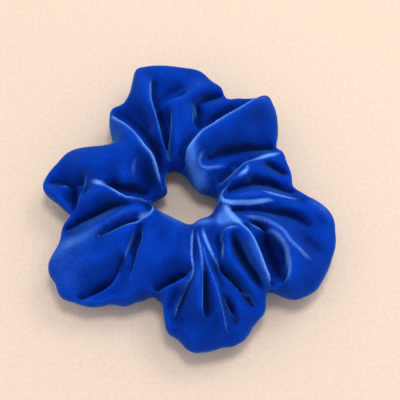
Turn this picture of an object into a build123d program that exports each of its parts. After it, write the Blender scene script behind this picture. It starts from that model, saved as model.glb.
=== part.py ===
"""Gathered fabric hair scrunchie, lying flat.

A tube of velvet is gathered over a braided elastic ring, so it stands in seven soft puffs round a
small central hole. Millimetres, +Z up, origin under the middle of the whole ring on the surface
that it lies on. The ring is cut across at y = 0 into a near and a far half, because its one
movement, the stretch over a wrist or a tail of hair, is modelled as the far half sliding away
along +Y.
"""

import os
from math import cos, pi, radians, sin

from build123d import *

os.makedirs("parts", exist_ok=True)

# ---- velvet cover ------------------------------------------------------------------------------
wall = 1.0                # velvet, pile included
seam_allowance = 6.5      # how far the two raw edges reach into the tube
pinch_lift = 1.5          # how far the narrowest section lifts off the table
widest = 58.0             # outer radius of a section that rests on the table
narrowest = 39.5          # outer radius of the section that lifts most
girth_level = 12.0        # height of the tube's widest level, where the long seam lies
crown_places = (0.12, 0.37, 0.63, 0.88)  # of a section's four heights, as shares of its width
section_step = 4.0        # degrees between the sections of the finished loft
halves_gap = 0.3          # clearance between the halves at rest

# Sections of the gathered tube, anticlockwise from +X:
# angle (degrees), inner radius, outer radius, four heights of the top from the hole outwards
far_sections = [
    (0, 12.0, 48.5, 23, 25, 19, 18),
    (10, 12.0, 40.5, 22, 24, 19, 15),
    (20, 11.0, 41.0, 20, 24, 20, 16),
    (32, 10.0, 41.0, 20, 21, 20, 16),
    (44, 9.5, 49.0, 25, 21, 20, 20),
    (55, 9.5, 54.0, 25, 27, 28, 18),
    (64, 9.5, 49.5, 26, 33, 20, 15),
    (72, 10.0, 46.0, 30, 30, 17, 16),
    (82, 11.0, 53.0, 31, 21, 18, 18),
    (92, 12.0, 56.5, 24, 27, 23, 18),
    (102, 13.0, 58.0, 24, 25, 18, 18),
    (111, 13.5, 58.0, 21, 21, 23, 20),
    (119, 14.0, 50.5, 19, 23, 20, 19),
    (129, 13.0, 48.0, 17, 20, 20, 16),
    (141, 12.0, 39.5, 23, 33, 31, 21),
    (152, 11.5, 46.5, 27, 31, 28, 21),
    (164, 12.0, 53.0, 22, 30, 27, 18),
    (173, 13.0, 55.3, 20, 26, 18, 15),
    (180, 13.5, 51.5, 18, 25, 22, 16),
]
near_sections = [
    (180, 13.5, 51.5, 18, 25, 22, 16),
    (188, 13.5, 45.5, 20, 26, 19, 15),
    (199, 13.0, 51.0, 24, 28, 22, 17),
    (210, 12.5, 57.0, 24, 22, 25, 20),
    (221, 11.5, 58.0, 24, 22, 25, 17),
    (232, 10.5, 52.5, 24, 24, 20, 14),
    (243, 10.0, 45.5, 23, 26, 25, 17),
    (254, 9.5, 41.0, 23, 26, 25, 15),
    (263, 9.5, 50.5, 22, 25, 19, 17),
    (272, 9.5, 57.5, 21, 24, 24, 20),
    (288, 9.5, 57.5, 20, 24, 24, 20),
    (300, 9.5, 52.5, 20, 24, 28, 19),
    (310, 9.5, 46.0, 20, 26, 27, 23),
    (319, 9.5, 56.5, 20, 25, 17, 22),
    (333, 10.5, 58.0, 22, 22, 26, 21),
    (347, 11.5, 56.0, 22, 20, 19, 18),
    (360, 12.0, 48.5, 23, 25, 19, 18),
]

# ---- braided elastic ---------------------------------------------------------------------------
elastic_radius = 24.0     # of the relaxed ring
elastic_width = 7.0       # stands on edge in the casing
elastic_thickness = 1.2
elastic_height = 12.0     # of its middle above the table
lap_angle = 12.0          # each end runs this far past the middle of the join
lap_rise = 1.7            # how far out the overlapping end lies
core_count = 8
core_diameter = 0.6
core_channel_diameter = 0.7
core_pitch = 0.82

# ---- sewing thread -----------------------------------------------------------------------------
thread_diameter = 0.4
stitch_length = 1.9
seam_line = 4.0           # from the fold at the inner side to the long seam's stitches
long_seam_step = 10.0     # degrees from stitch to stitch
closing_seam_angle = 270.0
closing_seam_stitches = 32
zigzag_stitches = 6       # in each of the join's two rows
zigzag_row_offset = 1.7   # of each row from the middle of the band
zigzag_tilt = 35.0        # of each stitch from upright


def section_at(table, angle):
    """The section at that angle, worked out between the rows of the table."""
    for low, high in zip(table, table[1:]):
        if low[0] <= angle <= high[0]:
            part = (angle - low[0]) / (high[0] - low[0])
            ease = (1 - cos(pi * part)) / 2
            return (angle, *[start + ease * (end - start) for start, end in zip(low[1:], high[1:])])
    raise ValueError(f"no section at {angle}")


def even_sections(table):
    """Sections all along the half ring, close enough for the tube to swell and pinch smoothly."""
    first = table[0][0]
    count = round((table[-1][0] - first) / section_step)
    return [section_at(table, first + section_step * i) for i in range(count + 1)]


def base_height(outer):
    """How far a section lifts off the table: none at the widest, most at the narrowest."""
    return pinch_lift * (widest - outer) / (widest - narrowest)


def crown_points(section, inset):
    """Points along a section's upper outline, from the hole outwards, set in from the skin."""
    _, inner, outer, *heights = section
    crown = [(inner + share * (outer - inner), top) for share, top in zip(crown_places, heights)]
    skin = Spline((inner, girth_level), *crown, (outer, girth_level), tangents=((0, 1), (0, -1)))
    points = [(inner + inset, girth_level)]
    for x, y in crown:
        along = skin.tangent_at(Vector(x, y, 0))
        points.append((x + along.Y * inset, y - along.X * inset))
    return [*points, (outer - inset, girth_level)]


def section_plane(angle, side, centre_x=0.0):
    """The upright plane through a ring's axis at that angle, its x pointing outwards.

    side is 1 in the far half and -1 in the near half, which stand half the gap from y = 0.
    """
    turn = radians(angle)
    return Plane(
        origin=(centre_x, side * halves_gap / 2, 0),
        x_dir=(cos(turn), sin(turn), 0),
        z_dir=(sin(turn), -cos(turn), 0),
    )


def cover_half(table, side):
    """Half of the velvet tube: a hollow shell with its seam allowance inside."""
    sections = even_sections(table)
    crowns = {inset: [crown_points(section, inset) for section in sections] for inset in (0, wall)}
    with BuildPart() as half:
        for inset, mode in ((0, Mode.ADD), (wall, Mode.SUBTRACT)):
            for section, crown in zip(sections, crowns[inset]):
                _, inner, outer, *_ = section
                middle = ((inner + outer) / 2, girth_level)
                half_width = (outer - inner) / 2 - inset
                below = girth_level - base_height(outer) - inset
                with BuildSketch(section_plane(section[0], side)):
                    with BuildLine():
                        Spline(*crown, tangents=((0, 1), (0, -1)))
                        EllipticalCenterArc(middle, half_width, below, 180, arc_size=180)
                    make_face()
            loft(ruled=True, mode=mode)
        reach = wall / 2 + seam_allowance
        for section in sections:
            middle = (section[1] + wall / 2 + reach / 2, girth_level)
            with BuildSketch(section_plane(section[0], side)):
                with Locations(middle):
                    Rectangle(reach, 2 * wall)
        loft(ruled=True)
    return half


def ring_axis(centre_x, side):
    """The upright axis that an arc of the elastic turns about."""
    return Axis((centre_x, side * halves_gap / 2, 0), (0, 0, 1))


def core_heights():
    """Heights of the rubber cores, side by side across the band."""
    first = elastic_height - core_pitch * (core_count - 1) / 2
    return [first + core_pitch * i for i in range(core_count)]


# ---- arcs of the elastic: (radius, x of its centre, first angle, sweep) --------------------------
far_arc = (elastic_radius, 0.0, 0.0, 180.0)
left_arc = (elastic_radius, 0.0, 180.0, 90.0 + lap_angle)
outer_end_radius = elastic_radius + lap_rise
right_radius = (elastic_radius**2 + outer_end_radius**2) / (2 * elastic_radius)
right_arc = (right_radius, elastic_radius - right_radius, 270.0 - lap_angle, 90.0 + lap_angle)


def braided_band(arcs, side):
    """The braid along its arcs, pierced by the channels of its rubber cores."""
    with BuildPart() as band:
        for radius, centre_x, first, turn in arcs:
            with BuildSketch(section_plane(first, side, centre_x)):
                with Locations((radius, elastic_height)):
                    Rectangle(elastic_thickness, elastic_width)
                with Locations([(radius, height) for height in core_heights()]):
                    Circle(core_channel_diameter / 2, mode=Mode.SUBTRACT)
            revolve(axis=ring_axis(centre_x, side), revolution_arc=turn)
    return band


def rubber_cores(arcs, side):
    """The rubber cores along the same arcs."""
    with BuildPart() as cores:
        for radius, centre_x, first, turn in arcs:
            with BuildSketch(section_plane(first, side, centre_x)):
                with Locations([(radius, height) for height in core_heights()]):
                    Circle(core_diameter / 2)
            revolve(axis=ring_axis(centre_x, side), revolution_arc=turn)
    return cores


def stitch(depth):
    """One stitch: a bar on each face of the cloth and the thread between, along X."""
    with BuildPart() as one:
        for face in (-1, 1):
            with Locations((0, 0, face * depth / 2)):
                Cylinder(thread_diameter / 2, stitch_length, rotation=(0, 90, 0))
        Cylinder(thread_diameter / 2, depth)
    return one.part


def stitches_at(planes, depth):
    """A row of separate stitches."""
    one = stitch(depth)
    with BuildPart() as row:
        with Locations(*[plane.location for plane in planes]):
            add(one)
    return row


def long_seam_planes(table, side):
    """Places of the long seam's stitches, along the seam allowance."""
    count = round((table[-1][0] - table[0][0]) / long_seam_step)
    planes = []
    for i in range(count):
        section = section_at(table, table[0][0] + long_seam_step * (i + 0.5))
        upright = section_plane(section[0], side)
        middle = (section[1] + wall + seam_line, girth_level, 0)
        planes.append(
            Plane(
                origin=upright.from_local_coords(middle),
                x_dir=upright.z_dir,
                z_dir=(0, 0, 1),
            )
        )
    return planes


def closing_seam_planes():
    """Places of the closing seam's stitches, round the tube where its two ends meet."""
    section = section_at(near_sections, closing_seam_angle)
    _, inner, outer, *_ = section
    middle = ((inner + outer) / 2, girth_level)
    half_width = (outer - inner - wall) / 2
    below = girth_level - base_height(outer) - wall / 2
    crown = crown_points(section, wall / 2)
    with BuildLine() as outline:
        Spline(*crown, tangents=((0, 1), (0, -1)))
        EllipticalCenterArc(middle, half_width, below, 180, arc_size=180)
    around = outline.wire()
    upright = section_plane(closing_seam_angle, -1)
    planes = []
    for i in range(closing_seam_stitches):
        share = (i + 0.5) / closing_seam_stitches
        slope = around % share
        along = upright.x_dir * slope.X + upright.y_dir * slope.Y
        planes.append(
            Plane(
                origin=upright.from_local_coords(around @ share),
                x_dir=along,
                z_dir=along.cross(upright.z_dir),
            )
        )
    return planes


def zigzag_planes():
    """Places of the stitches that hold the elastic's overlapped ends."""
    planes = []
    for i in range(2 * zigzag_stitches):
        along = -lap_angle * 0.8 + 1.6 * lap_angle * (i % zigzag_stitches + 0.5) / zigzag_stitches
        row = 1 if i < zigzag_stitches else -1
        lean = 1 if i % 2 else -1
        angle = 270.0 + along
        upright = section_plane(angle, -1)
        middle = (elastic_radius + lap_rise / 2, elastic_height + row * zigzag_row_offset, 0)
        across = Vector(0, 0, 1).rotate(Axis((0, 0, 0), upright.x_dir), zigzag_tilt * lean)
        planes.append(
            Plane(
                origin=upright.from_local_coords(middle),
                x_dir=across,
                z_dir=upright.x_dir,
            )
        )
    return planes


# ---- far half ------------------------------------------------------------------------------------
cover_far_half = cover_half(far_sections, 1)
elastic_far = braided_band([far_arc], 1)
rubber_cores_far = rubber_cores([far_arc], 1)
long_seam_thread_far = stitches_at(long_seam_planes(far_sections, 1), 2 * wall)

# ---- near half, with the closing seam and the join of the elastic --------------------------------
cover_near_half = cover_half(near_sections, -1)
elastic_near = braided_band([left_arc, right_arc], -1)
rubber_cores_near = rubber_cores([left_arc, right_arc], -1)
long_seam_thread_near = stitches_at(long_seam_planes(near_sections, -1), 2 * wall)
closing_seam_thread = stitches_at(closing_seam_planes(), wall)
elastic_join_thread = stitches_at(zigzag_planes(), lap_rise + elastic_thickness)

pieces = {
    "cover_far_half": cover_far_half,
    "elastic_far": elastic_far,
    "rubber_cores_far": rubber_cores_far,
    "long_seam_thread_far": long_seam_thread_far,
    "cover_near_half": cover_near_half,
    "elastic_near": elastic_near,
    "rubber_cores_near": rubber_cores_near,
    "long_seam_thread_near": long_seam_thread_near,
    "closing_seam_thread": closing_seam_thread,
    "elastic_join_thread": elastic_join_thread,
}
for name, piece in pieces.items():
    piece.part.label = name
    export_step(piece.part, f"parts/{name}.step")
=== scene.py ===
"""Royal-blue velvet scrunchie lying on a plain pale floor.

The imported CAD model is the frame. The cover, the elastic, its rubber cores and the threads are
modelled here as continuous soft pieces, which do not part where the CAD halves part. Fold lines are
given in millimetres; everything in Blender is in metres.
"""

import math

import bpy
import numpy as np
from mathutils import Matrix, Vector
from mathutils.bvhtree import BVHTree


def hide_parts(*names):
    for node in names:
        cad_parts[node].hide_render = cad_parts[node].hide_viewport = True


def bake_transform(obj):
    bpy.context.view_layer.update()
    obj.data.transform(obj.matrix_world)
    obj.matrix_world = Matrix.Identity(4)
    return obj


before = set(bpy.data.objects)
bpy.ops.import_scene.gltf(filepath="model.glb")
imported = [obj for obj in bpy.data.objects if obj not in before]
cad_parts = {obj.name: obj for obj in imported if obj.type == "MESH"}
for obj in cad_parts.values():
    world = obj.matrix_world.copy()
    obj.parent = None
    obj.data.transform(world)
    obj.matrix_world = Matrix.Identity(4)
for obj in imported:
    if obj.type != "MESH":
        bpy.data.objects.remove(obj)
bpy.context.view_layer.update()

MM = 0.001

# ---- velvet cover --------------------------------------------------------------------------------
CLOTH_THICKNESS = 1.0     # mm, pile included
FOLD_SHARE = 0.35         # of a thin fold's thickness, at most, that each of its two layers takes
SEAM_ALLOWANCE = 6.5      # mm, how far the strip's two raw edges reach into the tube
ALLOWANCE_START = 1.3     # mm, from the edge of the hole
ALLOWANCE_HEIGHT = 10.0   # mm, of the plane in which the two edges meet

GIRTH_HEIGHT = 12.0       # mm, height of the ring's widest level
PLAIN_TOP = 25.5          # mm, height of the top where no fold line lifts or lowers it
TOP_FULLNESS = 2.1        # 2 is an ellipse; more is flatter with steeper sides
UNDER_FULLNESS = 2.3

# Outer edge of the ring seen from above, anticlockwise from +X: angle (degrees), radius (mm). A
# scratch script fitted this table and the next to the photograph's silhouette: see report.md.
OUTER_EDGE = [
    (2, 44.8), (8, 40.5), (14, 41.0), (22, 41.0), (29, 41.6), (33, 40.8), (38, 44.0), (44, 48.3),
    (50, 52.0), (55, 53.8), (59, 50.6), (65, 47.6), (71, 45.8), (75, 49.5), (79, 51.0), (85, 55.0),
    (93, 56.7), (101, 58.5), (107, 59.4), (111, 59.1), (114, 54.9), (117, 51.1), (121, 48.4),
    (129, 48.2), (133, 45.5), (138, 40.4), (143, 36.6), (148, 39.6), (152, 44.4), (156, 49.1),
    (164, 52.8), (170, 55.1), (175, 55.3), (179, 51.7), (183, 47.4), (187, 45.0), (193, 48.3),
    (200, 51.3), (207, 58.0), (214, 58.8), (219, 59.6), (223, 57.4), (227, 55.8), (231, 52.4),
    (235, 48.8), (240, 46.8), (247, 41.7), (253, 39.9), (257, 41.9), (261, 50.5), (266, 53.3),
    (271, 58.2), (276, 58.2), (284, 58.1), (290, 57.9), (296, 54.3), (303, 51.7), (308, 47.4),
    (311, 47.2), (316, 54.9), (323, 58.4), (333, 58.4), (346, 56.9), (355, 53.4),
]
# Edge of the hole, the same way round
HOLE_EDGE = [
    (0, 11.3), (13, 10.4), (26, 8.3), (40, 6.5), (60, 6.3), (83, 8.0), (101, 12.2), (118, 14.8),
    (135, 12.0), (150, 8.9), (166, 10.2), (184, 14.3), (203, 11.4), (223, 9.3), (250, 9.0),
    (277, 9.6), (293, 8.6), (325, 10.0), (345, 10.4),
]

# Fold lines of the upper side: points (x, y, height) in mm along each one. The cloth is rounded over
# a crest and creased along a trough. They were picked by eye on the photograph, with guessed
# heights, and a scratch script turned them into millimetres: see report.md.
CRESTS = {
    "a_left_rim": [
        (-14, 50, 18.5), (-14, 43.5, 23), (-13.5, 37.5, 26.5), (-12, 31.5, 28.5), (-10.5, 26, 28.5),
        (-9, 20.5, 27), (-7.5, 16.5, 23), (-7.5, 13, 17),
    ],
    "a_pocket": [(-10, 48, 18), (-6.5, 49.5, 18.5), (-2, 50.5, 18.5), (2, 51, 17.5)],
    "a_front_rim": [
        (0.5, 41, 24.5), (-3, 38.5, 25.5), (-6, 37, 26), (-9, 36, 26), (-10.5, 35, 25),
        (-11.5, 34, 23.5),
    ],
    "a_front_crest": [(7, 51, 16), (5, 47.5, 19.5), (3, 44, 22.5), (0.5, 41, 24.5)],
    "a_strip_left": [
        (-7.5, 34.5, 26), (-6.5, 31, 27), (-6.5, 25.5, 27), (-7, 19.5, 25), (-7, 15, 21.5),
        (-7, 12, 15.5),
    ],
    "a_strip_mid": [
        (-2.5, 34, 26.5), (-3, 28, 27), (-4, 21, 27), (-4.5, 16.5, 24.5), (-5, 13.5, 20.5),
        (-5, 11.5, 15.5),
    ],
    "a_strip_right": [(2, 34.5, 25), (2, 30.5, 26), (2.5, 27, 25.5), (3.5, 24, 24.5)],
    "a_right_panel": [(10, 47.5, 17), (7, 44, 20), (4.5, 40.5, 22), (2, 37.5, 23.5)],
    "b_back_top": [(4, 37.5, 17), (7, 38, 18.5), (11, 39.5, 17.5), (16, 41.5, 16), (21, 43, 14.5)],
    "b_back_panel": [(7, 35.5, 17), (11, 37.5, 17), (17, 39.5, 16.5)],
    "b_rim": [
        (29.5, 42, 17), (25.5, 39, 22), (22, 35, 26.5), (18, 31, 29.5), (13.5, 27.5, 31.5),
        (9, 24, 32.5), (4.5, 20.5, 33), (1, 16.5, 32.5), (-1.5, 13.5, 31), (-2.5, 11, 28),
        (-2, 8.5, 24), (0, 6.5, 20), (2.5, 4.5, 15), (5, 3, 12.5),
    ],
    "b_panel": [(28, 32.5, 23), (21.5, 26, 27), (15, 21, 29.5), (9, 16.5, 30.5)],
    "b_bulge": [
        (3.5, 15.5, 31), (1, 12.5, 30.5), (0.5, 9.5, 28.5), (1.5, 7, 25), (3.5, 5.5, 20.5),
        (5.5, 4.5, 15),
    ],
    "b_above_gully": [(9.5, 15, 26), (14, 17.5, 24), (19.5, 19.5, 21.5), (25.5, 21, 18.5)],
    "b_turn": [
        (9, 15.5, 29), (6, 14, 28.5), (4.5, 11.5, 28), (4.5, 9.5, 27), (6.5, 8.5, 25.5),
        (9.5, 9, 25), (13.5, 10, 24), (17, 11, 23),
    ],
    "b_slope": [(4.5, 7, 24.5), (7.5, 6.5, 23.5), (11, 8, 22.5), (14, 9.5, 22)],
    "b_collar": [(5, 5, 20.5), (7.5, 5, 19.5), (9.5, 6, 19)],
    "b_collar_low": [(6.5, 4, 14.5), (9.5, 5.5, 14)],
    "c_top_strip": [(15, 13, 21.5), (18.5, 15, 20.5), (23.5, 17, 19), (29, 19, 16.5), (35.5, 21, 13.5)],
    "c_rim": [
        (36.5, 19.5, 14), (31.5, 17, 18.5), (27, 14.5, 21.5), (23, 12.5, 24), (20.5, 11, 25.5),
        (18, 9, 25), (15, 6.5, 24), (12.5, 5, 22), (11, 3.5, 18),
    ],
    "c_lip_back": [(21, 10.5, 26), (22, 9, 27), (21.5, 7, 27), (19.5, 5.5, 27), (17, 3.5, 27)],
    "c_lip": [
        (17, 3.5, 27), (14, 1.5, 26.5), (12.5, 0, 25.5), (12, -1.5, 24), (13, -3, 22.5),
        (15.5, -4, 22), (19, -4, 22), (23.5, -4, 22), (27.5, -3.5, 22), (30.5, -3, 21.5),
        (33.5, -3.5, 20),
    ],
    "c_panel": [(23.5, 10.5, 25), (23.5, 7.5, 25.5), (21.5, 4.5, 25.5), (18.5, 3, 24.5)],
    "c_panel_right": [(25.5, 8.5, 24), (26.5, 6.5, 22)],
    "c_lower_roll": [
        (14.5, -2.5, 23.5), (17, -2.5, 24.5), (20, -2, 25), (24, -1.5, 25), (27.5, -1.5, 24.5),
        (31.5, -2, 23),
    ],
    "c_dent_top": [(27, 12.5, 22.5), (30, 13.5, 20.5), (34, 14.5, 17)],
    "c_low_panel": [(27.5, 6.5, 22), (31, 6.5, 19.5), (34.5, 6.5, 16.5), (37.5, 5.5, 14)],
    "d_top_rim": [(24.5, 0.5, 23.5), (29.5, 0, 22), (34, -0.5, 20.5), (38.5, -1, 18.5), (43.5, -1, 16)],
    "d_back": [(34.5, -5, 22), (40, -6, 21.5), (46, -8, 19.5), (51, -10, 16.5)],
    "d_band": [(17.5, -5, 20.5), (23, -5, 21), (28, -5.5, 21)],
    "d_ridge": [
        (17.5, -9, 21.5), (22, -9.5, 22.5), (27, -11, 24), (31, -13.5, 25.5), (34.5, -16.5, 26.5),
        (37, -20.5, 27), (40, -23.5, 26.5), (43, -26, 24.5), (47, -27.5, 21),
    ],
    "d_pocket_rim": [
        (19.5, -12, 25), (22.5, -12.5, 25), (27, -14.5, 25.5), (30.5, -17, 26.5), (33, -20, 27),
        (35, -23, 27), (35.5, -26, 26.5), (36, -29.5, 25.5), (35.5, -33, 24), (34, -35.5, 20.5),
    ],
    "d_pocket_slope": [(34.5, -22, 20.5), (35, -26.5, 19.5), (34.5, -30.5, 18.5)],
    "d_rim": [
        (12, -3.5, 20), (14, -6, 22), (16, -9.5, 24.5), (18, -12.5, 27), (20, -14.5, 29),
        (22.5, -17.5, 30.5), (24, -20, 31), (25.5, -23.5, 31), (27, -27.5, 30.5), (28.5, -31.5, 29),
        (30.5, -35, 26.5), (32.5, -36.5, 23),
    ],
    "d_right_limb": [
        (19.5, -19, 31.5), (21.5, -21.5, 32), (23, -24, 32), (24.5, -27.5, 32), (26, -31, 31),
        (28, -34.5, 29), (31, -37, 25.5), (34.5, -38, 20),
    ],
    "d_limb_edge": [
        (18.5, -19.5, 29.5), (20.5, -24, 29.5), (22.5, -28.5, 29), (25.5, -32.5, 28),
        (27.5, -35.5, 25.5),
    ],
    "d_left_limb": [
        (15, -19, 29), (14.5, -21.5, 28.5), (14, -23.5, 28), (14.5, -26.5, 27.5), (16, -30, 27),
        (18.5, -33.5, 26), (21, -36.5, 24.5), (24, -39, 21.5), (26.5, -40.5, 18),
    ],
    "d_left_edge": [(12.5, -19, 26.5), (12.5, -21, 24.5), (12.5, -24, 23.5), (12.5, -28, 23.5)],
    "d_bright_face": [(12, -5, 19), (13, -8.5, 21.5), (15, -11.5, 24), (18, -14, 26.5)],
    "d_bright_low": [(12, -8.5, 19.5), (12.5, -13.5, 22.5)],
    "d_foot": [(36.5, -36, 23), (40, -31, 25.5), (42.5, -34.5, 19)],
    "e_seam_rim": [
        (2, -11.5, 18), (1.5, -19, 22.5), (1.5, -26, 25.5), (2, -31, 27), (1.5, -33.5, 26.5),
        (0, -35.5, 25.5), (-1.5, -38.5, 23), (-3.5, -42, 19.5), (-4.5, -45, 17), (-5, -48, 15),
    ],
    "e_left_panel": [(-3.5, -37, 17.5), (-6, -40.5, 16), (-7, -44.5, 15)],
    "e_ridge_1": [
        (3, -12.5, 19), (4, -19.5, 23.5), (5, -26, 26.5), (5.5, -32.5, 28), (5.5, -40, 28.5),
        (5.5, -44, 27), (6, -47, 25), (7.5, -49, 22.5),
    ],
    "e_center_panel": [(3.5, -29.5, 27), (3, -35.5, 26.5), (2.5, -42.5, 24.5), (1.5, -48.5, 20.5)],
    "e_second_panel": [(8.5, -39, 26), (9.5, -45.5, 24.5), (10.5, -50.5, 21)],
    "e_ridge_2": [
        (5, -17.5, 23), (6, -24, 25.5), (7.5, -30, 27), (9.5, -35.5, 27.5), (11, -40, 27),
        (12, -44, 26), (13, -48, 24), (14, -52, 20), (15.5, -54, 16),
    ],
    "e_ridge_3": [(12.5, -41, 25.5), (15, -44.5, 24.5), (17, -47.5, 22.5), (19, -50.5, 18.5)],
    "e_third_panel": [(15, -37.5, 23.5), (18, -41.5, 22), (21, -45, 18.5)],
    "e_d_rim": [
        (5, -11.5, 19.5), (6, -17, 22.5), (7.5, -21.5, 24.5), (9, -25, 25.5), (11, -28.5, 25.5),
        (12.5, -31, 25), (15.5, -34, 24.5), (18.5, -37, 23.5), (21.5, -39, 21.5), (24, -41.5, 18.5),
        (25, -42.5, 16),
    ],
    "e_inner_panel": [(7.5, -14, 20.5), (8.5, -19, 22.5), (10, -24, 24)],
    "f_hole_rim": [
        (-13, -5, 18), (-9.5, -6.5, 18.5), (-5.5, -8.5, 18.5), (-2, -10.5, 18.5), (1, -11.5, 18),
    ],
    "f_panel": [(-10, -16.5, 24.5), (-7, -23.5, 26.5), (-10.5, -30, 26)],
    "f_low_rim": [
        (1.5, -32, 26.5), (-2.5, -33.5, 25.5), (-6, -35, 23.5), (-10, -36, 21.5), (-13, -37, 19.5),
    ],
    "f_slit_right": [
        (-16.5, -14, 24), (-17, -19, 24.5), (-18.5, -24, 25), (-19.5, -29, 24.5), (-20.5, -33.5, 22),
        (-21.5, -37.5, 18),
    ],
    "f_big_edge": [
        (-18, -12.5, 24), (-19.5, -16.5, 24), (-21, -21, 24), (-22.5, -25, 24), (-25, -29, 23),
        (-27, -32.5, 21), (-29.5, -35, 19.5), (-33.5, -36.5, 17.5), (-37, -38, 15),
        (-40.5, -39, 12.5),
    ],
    "f_petal": [
        (-21.5, -27.5, 22), (-23, -31.5, 20), (-26, -35, 17), (-29.5, -37.5, 14.5), (-34, -38.5, 12),
    ],
    "f_nose_rim": [
        (-37, 4, 23), (-33, 2.5, 26), (-29, 0.5, 28), (-26, -1.5, 29), (-23.5, -3, 29.5),
        (-20, -3.5, 30), (-17, -4.5, 30), (-14.5, -5.5, 29.5), (-13.5, -6.5, 28.5), (-13.5, -8, 27),
        (-15, -9.5, 26), (-17, -10.5, 25.5), (-20, -12, 25), (-24, -13.5, 25), (-28, -15.5, 25),
        (-31.5, -17, 24.5), (-34.5, -18, 23.5),
    ],
    "f_spot": [(-35.5, -19, 24), (-35, -21.5, 24.5), (-32.5, -23.5, 24.5)],
    "f_upper_panel": [
        (-19.5, -5, 29.5), (-24, -4.5, 29), (-28, -3.5, 28), (-33, -3, 26), (-36.5, -4, 23.5),
    ],
    "f_lower_roll": [
        (-16, -8.5, 26.5), (-20.5, -10, 26.5), (-25, -11.5, 26), (-29, -14, 25.5), (-33.5, -16, 25),
        (-38, -18, 23.5), (-43, -19, 19.5), (-47, -19.5, 15.5),
    ],
    "f_big_panel": [(-27, -24, 25), (-32, -28.5, 25), (-37, -28, 24), (-41.5, -31.5, 20.5)],
    "f_left_rim": [
        (-37, 3.5, 23), (-39, 2.5, 22), (-40.5, 0.5, 20.5), (-41, -1.5, 19), (-42, -3.5, 16.5),
        (-43.5, -5, 13.5),
    ],
    "g_rim": [
        (-30.5, 36, 17), (-27, 31, 22), (-23, 26, 27), (-19, 20.5, 31), (-15.5, 15.5, 32.5),
        (-12.5, 12, 31.5), (-11, 8.5, 29), (-10, 6, 25), (-9.5, 3, 20),
    ],
    "g_valley_panel": [(-23.5, 37, 17), (-18, 32.5, 18.5), (-14, 26.5, 19.5)],
    "g_panel": [(-22.5, 16.5, 31.5), (-29.5, 11, 30), (-35, 8.5, 28), (-42.5, 10.5, 24)],
    "g_low_rim": [(-52.5, 7, 13), (-48.5, 6.5, 15.5), (-44.5, 6, 18), (-40, 5.5, 20.5), (-37, 4.5, 23)],
    "g_collar_edge": [(-17, 13, 29.5), (-19, 10.5, 29), (-20, 8, 28), (-20, 5, 26.5), (-19.5, 2, 24.5)],
    "g_collar": [(-15, 10.5, 29), (-15, 7.5, 26.5), (-14.5, 5.5, 22.5), (-13, 3.5, 17)],
    "g_inner_band": [(-24.5, 4.5, 29.5), (-23.5, 1.5, 28)],
    "d_arch": [
        (12.5, -19, 26.5), (13, -17.5, 28.5), (15, -16.5, 30), (18, -16.5, 30.5), (20.5, -17.5, 31),
    ],
}
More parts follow.
